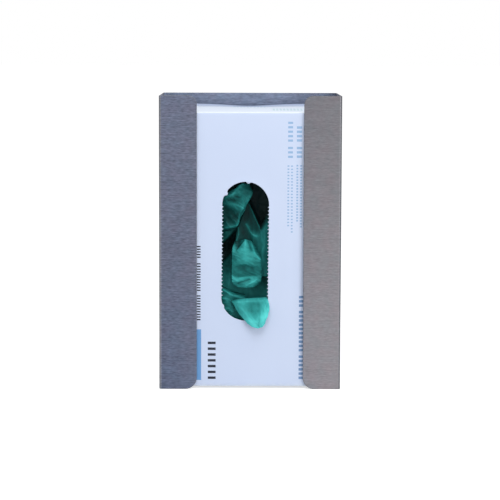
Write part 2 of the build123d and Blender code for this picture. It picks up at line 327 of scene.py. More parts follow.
def steel_marks(s, along, flat, right, on_back, on_lip):
    """Short level marks, lighter and darker than the rest: about 1."""
    dash = s.noise(1.0, detail=1.5, stretch=(250, 250, 1000), place=along)
    scratch = s.noise(1.0, detail=3.0, roughness=0.65, stretch=(55, 55, 3200), place=along)
    marks = s.math("SUBTRACT", s.math("ADD", dash, scratch), 1.0)
    coarse = s.product(s.math("SUBTRACT", 1.0, right), s.remap(on_lip, 0.0, 1.0, MARKS_ON_LEFT, 1.0))
    coarse = s.math("MAXIMUM", coarse, s.product(on_back, MARKS_ON_BACK))
    depth = s.product(s.remap(coarse, 0.0, 1.0, *MARK_DEPTHS), s.remap(flat, 0.0, 1.0, 1.0, MARKS_ON_FLAT))
    return s.math("MULTIPLY_ADD", marks, depth, 1.0)


def brushed_steel():
    """Stainless sheet with a fine level grain, and a painted reflection that makes it cooler on the left and
    the back.
    """
    s = Shader("brushed_steel")
    flat, right, on_back, on_lip = steel_zones(s)
    along = grain_place(s, flat)
    fine = s.noise(1.0, detail=2.0, stretch=(40, 40, 2600), place=along)
    streak = s.noise(1.0, detail=3.0, stretch=(22, 22, 620), place=along)
    grain = s.math("ADD", s.product(fine, 0.6), s.product(streak, 0.4))
    colour = s.mix(s.remap(grain, 0.3, 0.7), *STEEL_GRAIN)
    shade = steel_painted_reflection(s, right, on_back, on_lip)
    marks = steel_marks(s, along, flat, right, on_back, on_lip)
    hue = s.mix(s.remap(s.noise(85.0, detail=2.0), 0.35, 0.65), *STEEL_HUES)
    for factor in (shade, marks, hue):
        colour = s.mix(1.0, colour, factor, blend="MULTIPLY")
    cloud = s.remap(s.noise(9.0, detail=2.0), 0.3, 0.7, 0.0, 0.10)
    s.surface(
        Base_Color=s.mix(cloud, colour, STEEL_CLOUD),
        Metallic=1.0,
        Roughness=s.remap(streak, 0.3, 0.7, 0.34, 0.46),
        Anisotropic=0.55,
        Normal=s.bump(grain, 0.00006, 0.5),
        Tangent=s.add("ShaderNodeTangent", direction_type="RADIAL", axis="Z").outputs[0],
    )
    return s.material


INK_BLUE = (0.135, 0.32, 0.62)
INK_BLACK = (0.012, 0.016, 0.03)
INK_SKY = (0.29, 0.45, 0.68)
INK_MID = (0.16, 0.27, 0.47)
INK_FAINT = (0.22, 0.46, 0.55)
# Columns of plain bars printed on the front: left, right, ink, height of a bar and of the gap above
# it, then each run's foot and number of bars
PRINT = (
    (-56, -42.2, INK_BLUE, 44.5, 0, ((7.6, 1),)),
    (-45.9, -42.7, INK_BLACK, 1.1, 1.2, ((60, 10), (85.6, 11), (114.4, 5))),
    (-36.4, -29.6, INK_BLACK, 2.2, 2.9, ((8.6, 7),)),
    (32.3, 36.5, INK_SKY, 1.9, 1.9, ((200.9, 3), (214.8, 5))),
    (39.8, 44.4, INK_SKY, 2.1, 1.6, ((200.9, 3), (214.8, 4))),
    (31.9, 33.5, INK_SKY, 1.2, 1.5, ((142, 20),)),
    (35, 36.6, INK_SKY, 1.2, 1.5, ((136.5, 22),)),
    (39.6, 41.2, INK_SKY, 1.4, 1.1, ((146, 20),)),
    (42.8, 44.6, INK_SKY, 1.4, 1.1, ((140.8, 22),)),
    (42.4, 47.6, INK_MID, 2.2, 1.5, ((8.6, 6), (32.8, 10), (71.8, 3))),
)
PRINT_FACE_DEPTH = 4.0
# Bars side by side on the top flap: left, front, back and how many
TOP_PRINT = ((-15.0, 14.0, 26.0, 10), (19.5, -28.0, -6.0, 10))
TOP_BAR = 1.8
TOP_GAP = 1.2


def between(s, value, low, high):
    """1 where a value lies between two others."""
    return s.math("COMPARE", value, (low + high) / 2, (high - low) / 2)


def bars(s, value, start, count, bar, gap):
    """1 on each bar of a row that starts at a value."""
    pitch = bar + gap
    mask = between(s, value, start, start + count * pitch - gap)
    if gap:
        phase = s.math("FRACT", s.math("DIVIDE", s.math("SUBTRACT", value, start), pitch))
        mask = s.product(mask, s.math("LESS_THAN", phase, bar / pitch))
    return mask


def printed(s, base):
    """The base colour with the bars printed on the front panel and the top flap."""
    x, y, z = (s.math("DIVIDE", s.axis(i), MM) for i in range(3))
    on_front = s.math("LESS_THAN", y, CARTON_FRONT + PRINT_FACE_DEPTH)
    on_top = s.math("GREATER_THAN", z, PLAIN_TOP)
    for left, right, ink, bar, gap, runs in PRINT:
        column = s.product(between(s, x, left, right), on_front)
        for foot, count in runs:
            base = s.mix(s.product(column, bars(s, z, foot, count, bar, gap)), base, ink)
    for left, front, back, count in TOP_PRINT:
        mask = s.product(between(s, y, front, back), bars(s, x, left, count, TOP_BAR, TOP_GAP), on_top)
        base = s.mix(mask, base, INK_FAINT)
    return base


# The board's colour from patch to patch, a painted highlight (tone 1) and painted shade (tone -1)
BOARD_COLOURS = ((0.56, 0.646, 0.836), (0.58, 0.664, 0.846))
BOARD_PAINTED_HIGHLIGHT = (0.76, 0.83, 0.9)
BOARD_PAINTED_SHADE = (0.15, 0.2, 0.33)


def carton_board():
    """Smooth coated board, pale blue-white, with painted highlight whitening its folds and painted shade on
    the rear crest.
    """
    s = Shader("carton_board")
    cloud = s.noise(14.0, detail=2.0)
    base = printed(s, s.mix(s.remap(cloud, 0.3, 0.7), *BOARD_COLOURS))
    # Painted highlight where the tone is above 0, painted shade where it is below
    base = s.mix(s.remap(s.tone(), 0.0, 1.0), base, BOARD_PAINTED_HIGHLIGHT)
    base = s.mix(s.remap(s.tone(), 0.0, -1.0), base, BOARD_PAINTED_SHADE)
    fibre = s.noise(900.0, detail=3.0)
    s.surface(Base_Color=base, Roughness=0.45, Specular_IOR_Level=0.3, Normal=s.bump(fibre, 0.00002, 0.25))
    return s.material


# Film colour by tone, which carries painted light and shade: dull in the deepest gaps, nearly black, teal,
# then pale
FILM_TONES = (
    (-0.35, (0.02, 0.044, 0.048)),
    (0, (0.005, 0.022, 0.0225)),
    (0.25, (0.0055, 0.056, 0.055)),
    (0.5, (0.014, 0.165, 0.16)),
    (0.75, (0.042, 0.37, 0.362)),
    (1, (0.095, 0.62, 0.605)),
    (1.2, (0.15, 0.76, 0.745)),
)


def glove_film():
    """Thin teal nitrile, darker where it lies doubled, with painted highlight on lit folds and painted shade
    in hollows.
    """
    s = Shader("glove_film")
    cloud = s.noise(150.0, detail=4.0, distortion=0.6)
    level = s.math("ADD", s.tone(), s.remap(cloud, 0.25, 0.75, -0.05, 0.05))
    grit = s.noise(2600.0, detail=2.0)
    s.surface(
        Base_Color=s.ramp(level, FILM_TONES),
        Roughness=0.42,
        IOR=1.3,
        Specular_IOR_Level=0.14,
        Normal=s.bump(grit, 0.00003, 0.25),
    )
    return s.material


# ---- carton ----

# Radius of the blank's folds, and of its foot's, where the front stands a little off the shelf and
# the bottom comes down to it over FOOT_SAG
FOLD = 0.9
FOOT_FOLD = 1.6
FOOT_LIFT = 0.8
FOOT_SAG = 14.0
# Where the flat panels end and their folds begin
PLAIN_LEFT, PLAIN_RIGHT = CARTON_LEFT + FOLD, CARTON_RIGHT - FOLD
PLAIN_FRONT, PLAIN_BACK = CARTON_FRONT + FOLD, CARTON_BACK - FOLD
PLAIN_FOOT, PLAIN_TOP = CARTON_BASE + FOOT_FOLD, CARTON_TOP - FOLD
# Points along a straight side and an arc of the slot, and along the panel's edges to match
SIDE_STEPS = 100
ARC_STEPS = 44
# Rings round the slot: distances from its edge, then shares of the way on to the panel's edge
SLOT_MARGINS = (0.0, 0.5, 1.1, 2.4, 5.0, 9.0)
RING_SHARES = (0.12, 0.26, 0.42, 0.6, 0.78, 0.9, 0.96, 1.0)
SLOT_CURL = 0.35
SLOT_LEAN = math.radians(0.45)
# The perforation's nibs: where each one's points lie along it, which stands in, and how far
NIB_SHARES = (0.0, 0.28, 0.5, 0.72)
NIB_POINT = 2
NIB_DEPTH = 1.25
# Tabs that the tear left: how far right of and above the slot's middle, then width and depth
SLOT_NICKS = (((2.2, 59.5), 4.4, 2.4), ((-17.0, 49.8), 5.2, 3.2), ((-18.2, -47.4), 4.0, 1.4))
# How far the front bellies out, and is drawn back beside each lip: the depth, then where that
# begins, is whole, starts to end and has ended, outwards from x 0
PANEL_BULGE = 0.9
RIGHT_RECESS = (2.6, 33.0, 50.0, 56.0, 65.0)
LEFT_RECESS = (1.0, 40.0, 48.0, 54.0, 64.0)
# Painted tones row by row: shade on the rear flap's crest, highlight on the front fold and its flap, and
# highlight on the fold at the foot
CREST_PAINTED_SHADE = (0, -0.2, -0.5, -0.7, -0.7, -0.55, -0.3, -0.1, 0, 0)
FOLD_PAINTED_HIGHLIGHT = (0, 0.5, 1.0, 1.0)
FLAP_PAINTED_LIGHT = 0.5
FOOT_PAINTED_HIGHLIGHT = (0.2, 0.7, 1.0, 1.0)
# The top flap: how far before the back it ends, its rise to there, its hump and its share of the sag
LAP_SETBACK = 13.0
LAP_RISE = 2.6
LAP_HUMP = 0.5
LAP_SAG = 0.35
# The crest has dropped most at one x, and stands up beyond a reach from it
CREST_DROP = 1.9
CREST_LOWEST_X = -1.0
CREST_REACH = 26.0
CREST_LIFT = 0.75
DUST_FLAP = 55.0
DUST_TAPER = 7.0
WELD = 0.02


class Patchwork:
    """Grids of points that share edges, gathered into one sheet."""

    def __init__(self):
        self.points, self.tones, self.faces = [], [], []

    def add_grid(self, rows, closed=False, tone=0.0):
        """rows is an array of rows, columns and (x, y, z). tone is one number, or one a row or a point."""
        rows = np.asarray(rows, dtype=float)
        start = len(self.points)
        self.points.extend(rows.reshape(-1, 3))
        tone = np.reshape(tone, (-1, 1)) if np.ndim(tone) == 1 else tone
        self.tones.extend(np.broadcast_to(tone, rows.shape[:2]).ravel())
        self.faces.extend(grid_faces(rows.shape[0], rows.shape[1], start, closed))

    def build(self, name, material):
        """One welded mesh, its faces turned to look outward."""
        made = make_object(name, self.points, self.faces, material, tone=self.tones)
        shell = bmesh.new()
        shell.from_mesh(made.data)
        bmesh.ops.remove_doubles(shell, verts=shell.verts, dist=WELD * MM)
        bmesh.ops.recalc_face_normals(shell, faces=shell.faces)
        shell.to_mesh(made.data)
        shell.free()
        return made


def torn_nick(points, place, width, depth):
    """Moves the outline's points near a place inwards, as a pointed tab that the tear left."""
    near = np.clip(1 - np.linalg.norm(points - place, axis=1) / (width / 2), 0, 1)
    half = SLOT_STRAIGHT / 2
    middle = np.stack([np.zeros(len(points)), np.clip(points[:, 1], -half, half)], 1)
    return points + unit(middle - points) * (near * depth)[:, None]


def slot_outline(margin=0.0):
    """Points round the slot from its lower right, anticlockwise, a margin outside its torn edge."""
    half = SLOT_STRAIGHT / 2
    radius = SLOT_RADIUS + margin
    nib_points = len(NIB_SHARES)
    nibs = SIDE_STEPS // nib_points
    points = []
    for side in (1, -1):
        for i in range(SIDE_STEPS):
            nib, part = divmod(i, nib_points)
            share = (nib + NIB_SHARES[part]) / nibs
            reach = radius - (NIB_DEPTH if part == NIB_POINT and margin == 0 else 0)
            points.append((side * reach, side * (share * 2 * half - half)))
        for i in range(ARC_STEPS):
            angle = math.pi * i / ARC_STEPS
            points.append((side * radius * math.cos(angle), side * (half + radius * math.sin(angle))))
    points = np.array(points)
    for place, width, depth in SLOT_NICKS if margin == 0 else ():
        points = torn_nick(points, place, width, depth)
    cosine, sine = math.cos(SLOT_LEAN), math.sin(SLOT_LEAN)
    return points @ np.array([[cosine, -sine], [sine, cosine]])


def panel_outline():
    """Points round the front panel, matched one to one with the slot's points."""
    left, right = PLAIN_LEFT - SLOT_X, PLAIN_RIGHT - SLOT_X
    low, high = PLAIN_FOOT + FOOT_LIFT - SLOT_Z, PLAIN_TOP - SLOT_Z
    corners = np.array([(right, low), (right, high), (left, high), (left, low), (right, low)])
    edges = []
    for start, end, steps in zip(corners, corners[1:], (SIDE_STEPS, ARC_STEPS) * 2):
        edges.append(start + (end - start) * np.linspace(0, 1, steps, endpoint=False)[:, None])
    return np.concatenate(edges)


def drawn_back(outwards, recess):
    """How far the panel is drawn back at a distance outwards from the middle."""
    depth, begins, whole, fades, ended = recess
    return depth * smoothstep(begins, whole, outwards) * (1 - smoothstep(fades, ended, outwards))


def panel_depth(x, z):
    """Y of the front panel's outer face: it bellies out a little, and draws back beside the lips."""
    u = np.clip((x - SLOT_X) / ((CARTON_RIGHT - CARTON_LEFT) / 2 - FOLD), -1, 1)
    w = np.clip((z - SLOT_Z) / ((CARTON_TOP - CARTON_BASE) / 2 - FOLD), -1, 1)
    belly = PANEL_BULGE * (1 - np.abs(u) ** 5) * (1 - np.abs(w) ** 8)
    recess = drawn_back(x, RIGHT_RECESS) + drawn_back(-x, LEFT_RECESS)
    return CARTON_FRONT - belly + recess * (1 - w**4)


def front_panel_rows():
    """Rings from the slot's edge out to the panel's edge. The torn edge curls forward a little."""
    widest = SLOT_MARGINS[-1]
    rings = [(slot_outline(margin), SLOT_CURL * (1 - margin / widest) ** 3) for margin in SLOT_MARGINS]
    inner, outer = rings[-1][0], panel_outline()
    rings += [(inner + (outer - inner) * share, 0.0) for share in RING_SHARES]
    rows = []
    for flat, curl in rings:
        x, z = flat[:, 0] + SLOT_X, flat[:, 1] + SLOT_Z
        rows.append(np.stack([x, panel_depth(x, z) - curl, z], 1))
    rows[-1][:, 1] = CARTON_FRONT
    return rows


def quarter_turn(steps=4):
    """Cosines and sines from 0 to 90 degrees."""
    angles = np.linspace(0, math.pi / 2, steps)
    return list(zip(np.cos(angles), np.sin(angles)))


def foot_lift(y):
    """The bottom lies on the shelf, and rises a little from there to the fold under the front."""
    return FOOT_LIFT * (1 - smoothstep(0, FOOT_SAG, y - CARTON_FRONT))


def foot_row(x, y, cosine, sine):
    """Carries points of the walls' foot round the fold to under the carton."""
    inset = FOOT_FOLD * (1 - cosine)
    x = np.clip(x, CARTON_LEFT + inset, CARTON_RIGHT - inset)
    y = np.clip(y, CARTON_FRONT + inset, CARTON_BACK - inset)
    return np.stack([x, y, CARTON_BASE + FOOT_FOLD * (1 - sine) + foot_lift(y)], 1)


def across_panel():
    """Places from the right of a panel to its left, matched with the slot's arcs."""
    return np.linspace(PLAIN_RIGHT, PLAIN_LEFT, ARC_STEPS + 1)


def wall_rows():
    """Sides and back as one strip in plan, from the front's right fold round to its left."""
    turn = quarter_turn()
    plan = [(PLAIN_RIGHT + FOLD * s, PLAIN_FRONT - FOLD * c) for c, s in turn]
    plan += [(CARTON_RIGHT, y) for y in np.linspace(PLAIN_FRONT, PLAIN_BACK, 9)[1:-1]]
    plan += [(PLAIN_RIGHT + FOLD * c, PLAIN_BACK + FOLD * s) for c, s in turn]
    plan += [(x, CARTON_BACK) for x in across_panel()[1:-1]]
    plan += [(PLAIN_LEFT - FOLD * s, PLAIN_BACK + FOLD * c) for c, s in turn]
    plan += [(CARTON_LEFT, y) for y in np.linspace(PLAIN_BACK, PLAIN_FRONT, 9)[1:-1]]
    plan += [(PLAIN_LEFT - FOLD * c, PLAIN_FRONT - FOLD * s) for c, s in turn]
    x, y = np.array(plan).T
    rows = [foot_row(x, y, c, s) for c, s in reversed(turn[1:])]
    for share in [*np.linspace(0, 1, SIDE_STEPS, endpoint=False), 1]:
        z = PLAIN_FOOT + (PLAIN_TOP - PLAIN_FOOT) * share
        rows.append(np.stack([x, y, z + foot_lift(y) * (1 - share)], 1))
    return rows


def bottom_rows():
    """The fold under the front, then the flat bottom back to the fold under the rear."""
    x = across_panel()
    rows = [foot_row(x, np.full_like(x, CARTON_FRONT), c, s) for c, s in quarter_turn()[:-1]]
    return rows + [foot_row(x, np.full_like(x, y), 0, 1) for y in np.linspace(PLAIN_FRONT, PLAIN_BACK, 9)]


def crest_sag(x):
    """How far the rear flap's crest has dropped at x, less how far it stands up."""
    return CREST_DROP * np.exp(-(((x - CREST_LOWEST_X) / CREST_REACH) ** 2)) - CREST_LIFT


def flap_rows(path):
    """A flap as wide as the front panel. path holds (y, z, share of the sag)."""
    x = across_panel()
    return [np.stack([x, np.full_like(x, y), z - share * crest_sag(x)], 1) for y, z, share in path]


def top_flaps():
    """The front flap climbs back over the rear flap, whose fold stands up as a crest behind it."""
    lap = CARTON_BACK - LAP_SETBACK
    front = [(PLAIN_FRONT - FOLD * c, PLAIN_TOP + FOLD * s, 0) for c, s in quarter_turn()]
    for share in np.linspace(0, 1, 9)[1:]:
        y = PLAIN_FRONT + (lap - PLAIN_FRONT) * share
        hump = LAP_HUMP * math.sin(math.pi * share)
        front.append((y, CARTON_TOP + LAP_RISE * share + hump, LAP_SAG * share**2))
    crest = CARTON_CREST
    rear = [
        (CARTON_BACK, PLAIN_TOP, 0),
        (CARTON_BACK, CARTON_TOP + 1.0, 0.3),
        (CARTON_BACK - 0.1, crest - 1.4, 0.9),
        (CARTON_BACK - 0.8, crest - 0.3, 1.0),
        (CARTON_BACK - 2.2, crest, 1.0),
        (CARTON_BACK - 4.2, crest - 0.5, 1.0),
        (CARTON_BACK - 7.0, crest - 1.7, 0.8),
        (lap + 2.5, CARTON_TOP + LAP_RISE - 0.5, 0.5),
        (lap - 6.0, CARTON_TOP + LAP_RISE - 0.8, 0.35),
        (CARTON_FRONT + 8.0, CARTON_TOP - 0.4, 0),
    ]
    return flap_rows(front), flap_rows(rear)


def dust_flap_rows(side):
    """A side's flap, folded in flat under the top, with tapered ends."""
    root = CARTON_LEFT + BOARD if side < 0 else CARTON_RIGHT - BOARD
    front, back = CARTON_FRONT + 2 * BOARD, CARTON_BACK - 2 * BOARD
    rows = []
    for share in np.linspace(0, 1, 6):
        x = root - side * DUST_FLAP * share
        taper = DUST_TAPER * share
        ends = front + taper, back - taper
        rows.append([(x, y, CARTON_TOP - 1.0) for y in np.linspace(*ends, 7)])
    return rows


def make_carton(material):
    """The folded blank as one sheet: front with its slot, walls, top flaps and bottom."""
    blank = Patchwork()
    blank.add_grid(front_panel_rows(), closed=True)
    blank.add_grid(wall_rows())
    front, rear = top_flaps()
    # Painted highlight on the front fold, its flap and the foot's fold, painted shade on the rear crest
    front_tones = [*FOLD_PAINTED_HIGHLIGHT, *[FLAP_PAINTED_LIGHT] * (len(front) - len(FOLD_PAINTED_HIGHLIGHT))]
    blank.add_grid(front, tone=front_tones)
    blank.add_grid(rear, tone=CREST_PAINTED_SHADE)
    bottom = bottom_rows()
    foot_tones = [*FOOT_PAINTED_HIGHLIGHT, *[0] * (len(bottom) - len(FOOT_PAINTED_HIGHLIGHT))]
    blank.add_grid(bottom, tone=foot_tones)
    for side in (-1, 1):
        blank.add_grid(dust_flap_rows(side))
    carton = blank.build("carton_board", material)
    thicken(carton, BOARD)
    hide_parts("carton")
    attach(carton, BODY)


# ---- gloves ----
# A glove is drawn as rows of folds from top to foot, each from left to right. A point is (right of
# the slot's middle, above it, depth behind the carton's front, tone). Heights are as seen from a
# little above: a point lies lower by SIGHT_SLOPE of its depth. Tone runs from 0, dark, to 1, pale:
# partly doubled and thin film, partly painted light and shade, paler on lit folds, darker in hollows.
# A crease is (line, width, height, tone added as painted highlight, shade where negative), and a
# wrinkle (size, height, tone added as painted highlight on crests, stretch, angle).

SIGHT_SLOPE = 0.11
FILM = 1.2
RIM_TONE = 0.1


def facets(points, count, ease):
    """Straight runs between points (first axis), with corners eased over a few steps."""
    points = np.asarray(points, dtype=float)
    t = np.linspace(0, len(points) - 1, count)
    i = np.minimum(t.astype(int), len(points) - 2)
    share = (t - i).reshape(-1, *[1] * (points.ndim - 1))
    line = points[i] * (1 - share) + points[i + 1] * share
    for _ in range(ease):
        line[1:-1] = (line[:-2] + 2 * line[1:-1] + line[2:]) / 4
    return line


def fold_grid(folds, rows, columns, ease):
    """The folds drawn finely, as a grid of rows and columns."""
    across = facets(np.swapaxes(folds, 0, 1), columns, ease)
    return facets(np.swapaxes(across, 0, 1), rows, ease)


def distance_to_line(x, z, line):
    """Distance from each (x, z) to a line of points."""
    nearest = np.full(np.shape(x), np.inf)
    for (x0, z0), (x1, z1) in zip(line, line[1:]):
        length = (x1 - x0) ** 2 + (z1 - z0) ** 2
        share = np.clip(((x - x0) * (x1 - x0) + (z - z0) * (z1 - z0)) / length, 0, 1)
        nearest = np.minimum(nearest, np.hypot(x - x0 - share * (x1 - x0), z - z0 - share * (z1 - z0)))
    return nearest


def inside(x, z, outline):
    """Whether each (x, z) lies inside an outline."""
    within = np.zeros(np.shape(x), dtype=bool)
    for (x0, z0), (x1, z1) in zip(outline, [*outline[1:], outline[0]]):
        crosses = (z0 > z) != (z1 > z)
        within ^= crosses & (x < (x1 - x0) * (z - z0) / (z1 - z0 if z1 != z0 else 1e-9) + x0)
    return within


def crumple(x, z, size, seed, stretch=1.0, angle=90.0):
    """Random sharp-crested folds, 0 to 1 with the crests at 1, drawn out by stretch along an angle."""
    turn = math.radians(angle)
    along = np.ravel(x * math.cos(turn) + z * math.sin(turn)) / size / stretch
    across = np.ravel(z * math.cos(turn) - x * math.sin(turn)) / size
    values = [1 - min(1, 2.2 * abs(noise.noise(Vector((u, w, seed))))) for u, w in zip(along, across)]
    return np.reshape(values, np.shape(x))


def add_creases(grid, creases):
    """Raises sharp ridges along lines, with painted highlight along them, painted shade where the tone added
    is negative.
    """
    x, z = grid[..., 0], grid[..., 1]
    for line, width, height, tone in creases:
        ridge = np.exp(-distance_to_line(x, z, line) / width)
        grid[..., 2] -= height * ridge
        grid[..., 3] += tone * ridge


def add_wrinkles(grid, wrinkles, seed):
    """Covers a grid with random folds, the same on each run, painted lighter on their crests and darker in
    their troughs.
    """
    x, z = grid[..., 0], grid[..., 1]
    for i, (size, height, tone, stretch, angle) in enumerate(wrinkles):
        fold = crumple(x, z, size, seed + 7.3 * i, stretch, angle)
        grid[..., 2] -= height * (fold - 0.5)
        grid[..., 3] += tone * (fold - 0.5)


def to_world(grid):
    """A grid's points in the frame, in millimetres."""
    x, z, depth = grid[..., 0], grid[..., 1], grid[..., 2]
    return np.stack([x + SLOT_X, depth + CARTON_FRONT, z + SLOT_Z - SIGHT_SLOPE * depth], -1)


def border(rows, columns):
    """Indices of a grid's border, once round."""
    top = [(0, j) for j in range(columns)]
    right = [(i, columns - 1) for i in range(1, rows)]
    bottom = [(rows - 1, j) for j in range(columns - 2, -1, -1)]
    left = [(i, 0) for i in range(rows - 2, 0, -1)]
    return tuple(zip(*(top + right + bottom + left)))


# Film seen edge on: how many rings, how deep every other one lies, and a wave's depth and length
SIDE_RINGS = 14
SIDE_GROOVE = 0.55
SIDE_WAVE = 0.9
SIDE_WAVELENGTH = 9
LEVEL = np.array([1, 0, 1])


def layered_sides(last, rear):
    """Rings from a rolled edge back to the rear, pleated like layers of film, with painted shade in every
    other ring and further back.
    """
    inward = unit((rear.mean(0) - rear) * LEVEL)
    rings, tones = [], []
    for i in range(1, SIDE_RINGS + 1):
        share = i / SIDE_RINGS
        ring = last + (rear - last) * share
        spots = [Vector((p[0] / SIDE_WAVELENGTH, p[2] / SIDE_WAVELENGTH, 0.45 * i)) for p in ring]
        wave = np.array([noise.noise(spot) for spot in spots])
        deep = (i % 2) * SIDE_GROOVE + SIDE_WAVE * wave * math.sin(math.pi * share)
        rings.append(ring + inward * deep[:, None] * (i < SIDE_RINGS))
        tones.append(-0.12 * (i % 2) - 0.15 * share)
    return rings, tones


def rolled_rings(front, normals, rim, radius, angles):
    """Rings that roll the front's rim over, one for each angle."""
    edge, edge_normal = front[rim], normals[rim]
    run = np.roll(edge, -1, 0) - np.roll(edge, 1, 0)
    outward = unit(np.cross(edge_normal, unit(run)))
    outward *= np.sign(np.median(np.einsum("ij,ij->i", outward, edge - front.mean((0, 1)))))
    centre = edge - edge_normal * radius
    return [centre + (edge_normal * math.cos(a) + outward * math.sin(a)) * radius for a in angles]


def closed_film(name, grid, material, back, radius):
    """A closed mesh with the grid as its front. Its edges roll over to a second layer behind it, or
    go back in layers to the depth called back.
    """
    front = to_world(grid)
    tone = grid[..., 3]
    normals = unit(np.cross(np.gradient(front, axis=0), np.gradient(front, axis=1)))
    normals *= -np.sign(np.median(normals[..., 1]))
    if back is None:
        angles = np.linspace(0, math.pi, 7)
        rear = front - normals * 2 * radius
    else:
        angles = np.linspace(0, math.pi / 2, 5)
        rear = front.copy()
        rear[..., 1] = CARTON_FRONT + back
    rim = border(*front.shape[:2])
    rings = rolled_rings(front, normals, rim, radius, angles)
    tones = [RIM_TONE * math.sin(a) for a in angles]
    if back is not None:
        side_rings, side_tones = layered_sides(rings[-1], rear[rim])
        rings += side_rings
        tones += side_tones
    sheet = Patchwork()
    sheet.add_grid(front, tone=tone)
    sheet.add_grid(rings, closed=True, tone=np.add.outer(tones, tone[rim]))
    sheet.add_grid(rear, tone=tone - RIM_TONE)
    return sheet.build(name, material)


def place_glove(made, node):
    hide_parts(node)
    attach(made, BODY)


# Bunched up at the slot's upper left: a lit panel over a dark one, and a tucked lower edge
UPPER_FOLDS = (
    ((-37, 44, 16, 0.2), (-21, 48, 13, 0.35), (-11, 53.2, 10.5, 0.57),
     (-4, 58.2, 11, 0.5), (3, 58.6, 13, 0.3)),
    ((-37, 41, 15, 0.2), (-19.5, 46.5, 11, 0.45), (-11, 50.4, 9, 0.75),
     (-2.5, 53, 9.5, 0.47), (6.2, 52.4, 12, 0.32)),
    ((-37, 38, 15, 0.2), (-18.5, 45, 11, 0.4), (-9.5, 44.5, 10.5, 0.2),
     (-1.6, 44.5, 8.5, 0.48), (5.6, 48.5, 11.5, 0.5)),
    ((-37, 36, 15, 0.2), (-18.5, 42.5, 10.5, 0.38), (-9.6, 40.4, 8.5, 0.54),
     (-1.8, 36.8, 7.5, 0.55), (1.6, 41, 10.5, 0.45)),
    ((-37, 31, 16, 0.1), (-19.5, 38, 13, 0.2), (-11, 35, 12, 0.2),
     (-5, 33.5, 10.5, 0.24), (-1, 34.8, 11.5, 0.4)),
    ((-37, 24, 16, 0.1), (-19.5, 28, 14, 0.2), (-12, 28, 13, 0.17),
     (-6.5, 28.5, 11.5, 0.24), (-4.6, 29, 12.5, 0.36)),
    ((-37, 17, 15, 0.2), (-19.5, 19.6, 12, 0.4), (-12.8, 20.8, 11, 0.42),
     (-7.6, 21.8, 10.5, 0.4), (-5.6, 23.5, 12, 0.4)),
    ((-37, 15, 18, 0.1), (-19.5, 17, 16, 0.15), (-13, 18.4, 15, 0.12),
     (-9, 19.8, 15, 0.12), (-7.5, 21, 15, 0.2)),
)
UPPER_CREASES = (
    (((-17, 44.5), (-9.6, 41.4), (-1.6, 37.1)), 0.6, 0.8, 0.14),
    (((-12, 49), (-6.5, 55.5), (-2, 59)), 0.9, 0.5, 0.12),
    (((-8.5, 47.5), (-4.5, 47)), 0.6, -0.5, -0.2),
    (((-19, 42), (-12, 39.5), (-7, 36)), 1.4, 0.4, 0.06),
    (((-2.4, 36.4), (-5, 32.5), (-6.2, 24), (-7.4, 21.8)), 0.6, 0.4, 0.2),
    (((-19, 19.6), (-12.8, 21), (-6.6, 22.4)), 0.6, 0.3, 0.14),
)
UPPER_WRINKLES = ((8, 0.8, 0.08, 1.5, -35), (2.6, 0.35, 0.07, 3, -38), (1.3, 0.1, 0.04, 4, 60))

# Lying back at the slot's right, with one edge that runs down from upper left
RIGHT_FOLDS = (
    ((-3, 31, 19, 0), (2.4, 42.3, 17.5, 0.05), (13.2, 18.5, 17.5, 0.2),
     (19.5, 33, 17.5, -0.15), (43, 50, 19, 0.1)),
    ((-6.2, 20.5, 16, 0.15), (1, 25, 19, -0.05), (12, 14, 17, 0.42),
     (19.5, 24, 15.5, 0.48), (43, 24, 17, 0.1)),
    ((-7.6, 9.5, 13.5, 0.2), (2.6, 14, 18, 0.1), (11, 9, 16.5, 0.46),
     (19.5, 10, 15.2, 0.39), (43, 12, 17, 0.1)),
    ((-5, 0, 17, 0.2), (6, 4, 17.5, 0.45), (13, 0, 16, 0.5), (19.5, -2, 16, 0.44), (43, 0, 17, 0.1)),
    ((0, -21.5, 19, 0.2), (6, -21.5, 18.5, 0.3), (13.5, -21.5, 17, 0.6),
     (19.5, -21.5, 17, 0.6), (43, -21.5, 17, 0.1)),
)
RIGHT_CREASES = (
    (((2.5, 42.5), (13.4, 18)), 0.5, 0.5, 0.2),
    (((1.2, 23.5), (4.3, 17.5), (6.4, 14.4), (9.6, 13.2)), 1.6, 1.4, 0.5),
    (((18.4, 31), (16.5, 18), (17.2, 2)), 1.2, 0.6, 0.12),
    (((-5.8, 20.5), (-5.6, 15), (-7.2, 9.5)), 0.6, 0.4, 0.34),
    (((13.4, 18), (15.5, 6), (15, -20)), 1, 0.6, 0.12),
)
RIGHT_WRINKLES = ((9, 0.8, 0.06, 2.5, 80), (3, 0.3, 0.06, 4, 85), (1.4, 0.1, 0.03, 4, 120))

